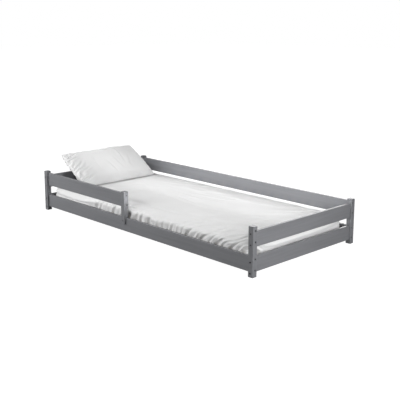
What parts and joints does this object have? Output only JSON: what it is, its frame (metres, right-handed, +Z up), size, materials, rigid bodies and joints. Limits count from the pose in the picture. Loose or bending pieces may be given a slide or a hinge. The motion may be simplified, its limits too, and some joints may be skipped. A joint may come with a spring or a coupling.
{
  "type": "toddler bed",
  "caption": "Low pine toddler bed with open board sides, a head-end entry guard, slatted base, mattress, white coverlet and a pillow leaning on the head board.",
  "frame": {"origin": "on the floor, under the middle of the bed frame's outer posts", "axes": "+X to the foot end, +Y to the wall side, +Z up; the entry side with the short guard faces -Y"},
  "size_m": [2.08, 0.96, 0.3889],
  "materials": {
    "grey_paint": "satin",
    "bare_pine": "matte",
    "beech": "matte",
    "black_steel": "satin",
    "zinc": "satin",
    "yellow_zinc": "satin",
    "webbing": "matte",
    "mattress_ticking": "matte",
    "white_cotton": "matte",
    "pillow_cotton": "matte"
  },
  "bodies": {
    "bed_frame": {"head_front_post": "grey_paint", "head_rear_post": "grey_paint", "foot_front_post": "grey_paint", "foot_rear_post": "grey_paint", "guard_post": "grey_paint", "front_rail": "grey_paint", "rear_rail": "grey_paint", "rear_board": "grey_paint", "guard_board": "grey_paint", "head_board": "grey_paint", "foot_board": "grey_paint", "head_rail": "grey_paint", "foot_rail": "grey_paint", "front_ledger": "bare_pine", "rear_ledger": "bare_pine", "slat_1": "bare_pine", "slat_2": "bare_pine", "slat_3": "bare_pine", "slat_4": "bare_pine", "slat_5": "bare_pine", "slat_6": "bare_pine", "slat_7": "bare_pine", "slat_8": "bare_pine", "slat_9": "bare_pine", "slat_10": "bare_pine", "slat_11": "bare_pine", "slat_12": "bare_pine", "slat_13": "bare_pine", "slat_14": "bare_pine", "slat_straps": "webbing", "strap_staples": "zinc", "side_bolts": "black_steel", "end_bolts": "black_steel", "side_barrel_nuts": "zinc", "end_barrel_nuts": "zinc", "side_dowels": "beech", "end_dowels": "beech", "lap_bolt": "black_steel", "lap_sleeve_nut": "zinc", "ledger_screws": "yellow_zinc", "slat_screws": "yellow_zinc"},
    "bedding": {"mattress": "mattress_ticking", "coverlet": "white_cotton"},
    "pillow_body": {"pillow": "pillow_cotton"}
  },
  "joints": [
    {"name": "mattress_lift", "type": "slide", "parent": "bed_frame", "child": "bedding", "axis": [0, 0, 1], "range_m": [0, 0.25]},
    {"name": "pillow_lift", "type": "slide", "parent": "bedding", "child": "pillow_body", "axis": [0, 0, 1], "range_m": [0, 0.2]}
  ]
}
